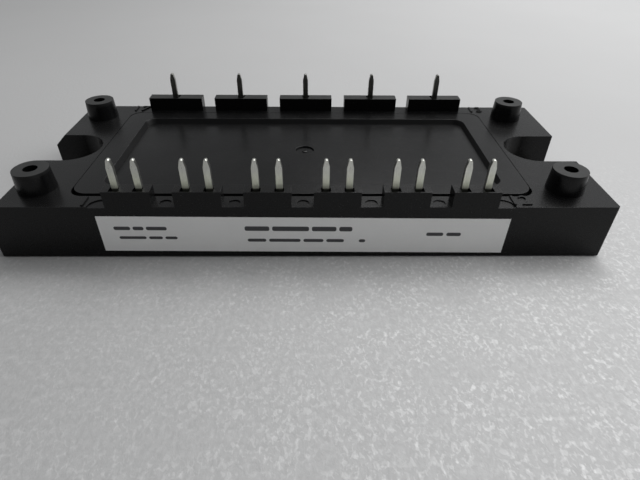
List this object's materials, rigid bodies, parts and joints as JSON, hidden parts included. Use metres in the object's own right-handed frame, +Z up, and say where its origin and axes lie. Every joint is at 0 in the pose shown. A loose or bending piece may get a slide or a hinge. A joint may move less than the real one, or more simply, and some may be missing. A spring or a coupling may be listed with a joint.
{
  "type": "igbt power module",
  "caption": "Flat black power semiconductor module with board pins along both long sides, corner stand-offs and an open fixing notch at each end.",
  "frame": {"origin": "centre of the base plate's underside", "axes": "+X along the length, away from the chamfered end; -Y towards the twelve control pins; +Z up along the pins"},
  "size_m": [0.1076, 0.0451, 0.019],
  "materials": {
    "nickel_plate": "plain rolled, nickel plated",
    "glue": "cured silicone",
    "case_plastic": "fine matt moulded",
    "lid_plastic": "fine matt moulded",
    "label_paper": "smooth printed film",
    "tin": "tin plated",
    "solder": "dull",
    "copper": "etched",
    "ceramic": "fired",
    "silicon": "polished",
    "aluminium": "drawn",
    "gel": "clear soft gel"
  },
  "bodies": {
    "root": {"base_plate": "nickel_plate", "case_adhesive": "glue", "case_frame": "case_plastic", "lid": "lid_plastic", "label": "label_paper", "control_pin_01": "tin", "control_pin_02": "tin", "control_pin_03": "tin", "control_pin_04": "tin", "control_pin_05": "tin", "control_pin_06": "tin", "control_pin_07": "tin", "control_pin_08": "tin", "control_pin_09": "tin", "control_pin_10": "tin", "control_pin_11": "tin", "control_pin_12": "tin", "power_pin_13": "tin", "power_pin_14": "tin", "power_pin_15": "tin", "power_pin_16": "tin", "power_pin_17": "tin", "base_solder": "solder", "substrate_back_copper": "copper", "substrate_ceramic": "ceramic", "positive_track": "copper", "negative_track": "copper", "gate_tracks": "copper", "phase_track_u": "copper", "phase_track_v": "copper", "phase_track_w": "copper", "igbt_die_1": "silicon", "igbt_die_2": "silicon", "igbt_die_3": "silicon", "igbt_die_4": "silicon", "igbt_die_5": "silicon", "igbt_die_6": "silicon", "diode_die_1": "silicon", "diode_die_2": "silicon", "diode_die_3": "silicon", "diode_die_4": "silicon", "diode_die_5": "silicon", "diode_die_6": "silicon", "die_solder": "solder", "power_wires": "aluminium", "gate_wires": "aluminium", "pin_wires": "aluminium", "gel_fill": "gel"}
  },
  "joints": []
}
